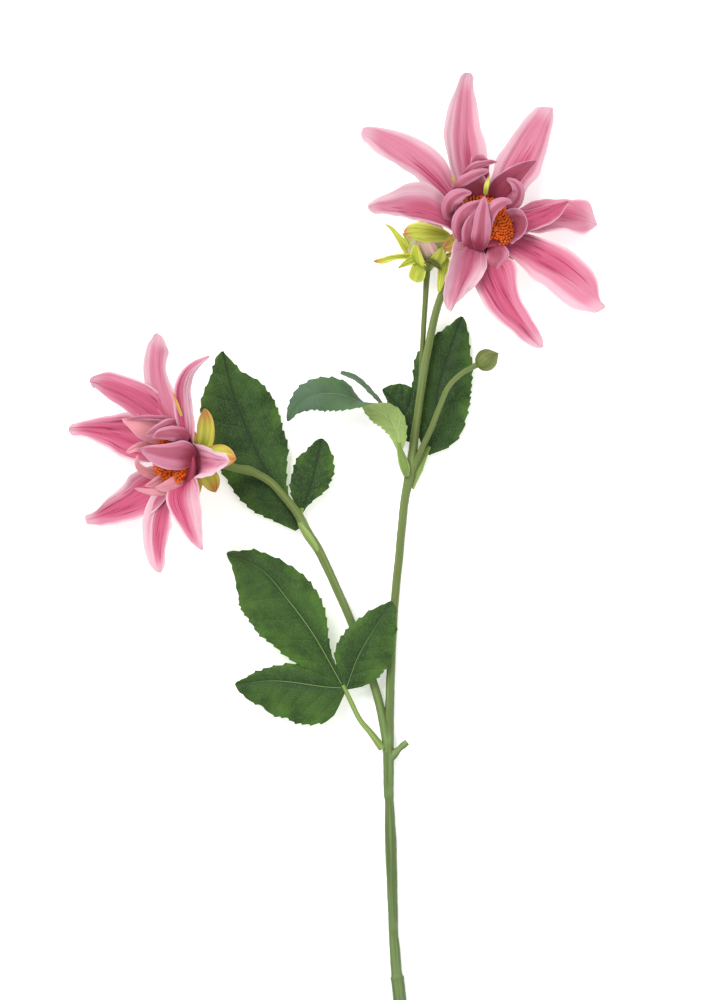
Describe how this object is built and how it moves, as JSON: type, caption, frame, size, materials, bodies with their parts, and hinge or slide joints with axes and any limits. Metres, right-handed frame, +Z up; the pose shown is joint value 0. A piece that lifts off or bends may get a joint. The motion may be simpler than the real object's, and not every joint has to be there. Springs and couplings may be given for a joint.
{
  "type": "dahlia flower spray",
  "caption": "Cut, branched dahlia stem lying with its open pink blooms facing up, with a half-open bud, a green bud and cut compound leaves.",
  "frame": {"origin": "middle of the outline seen from above, on the plane that the spray lies on", "axes": "+Y along the stem from its cut end towards the upper bloom, +Z up from the surface, out of the blooms' faces"},
  "size_m": [0.2694, 0.47, 0.0951],
  "materials": {
    "stem": "satin",
    "ray_petals": "satin",
    "inner_petals": "satin",
    "disc": "matte",
    "sepals": "satin",
    "bud_petals": "satin",
    "green_bud": "satin",
    "leaf": "satin"
  },
  "bodies": {
    "root": {"main_stem": "stem", "upper_bloom_ray_petals": "ray_petals", "upper_bloom_inner_petals": "inner_petals", "upper_bloom_disc": "disc", "upper_bloom_sepals": "sepals", "left_bloom_ray_petals": "ray_petals", "left_bloom_inner_petals": "inner_petals", "left_bloom_disc": "disc", "left_bloom_sepals": "sepals", "half_open_bud_petals": "bud_petals", "half_open_bud_sepals": "sepals", "green_bud": "green_bud", "lower_leaf": "leaf", "branch_leaf": "leaf", "upper_left_leaf": "leaf", "upper_right_leaf": "leaf"}
  },
  "joints": []
}
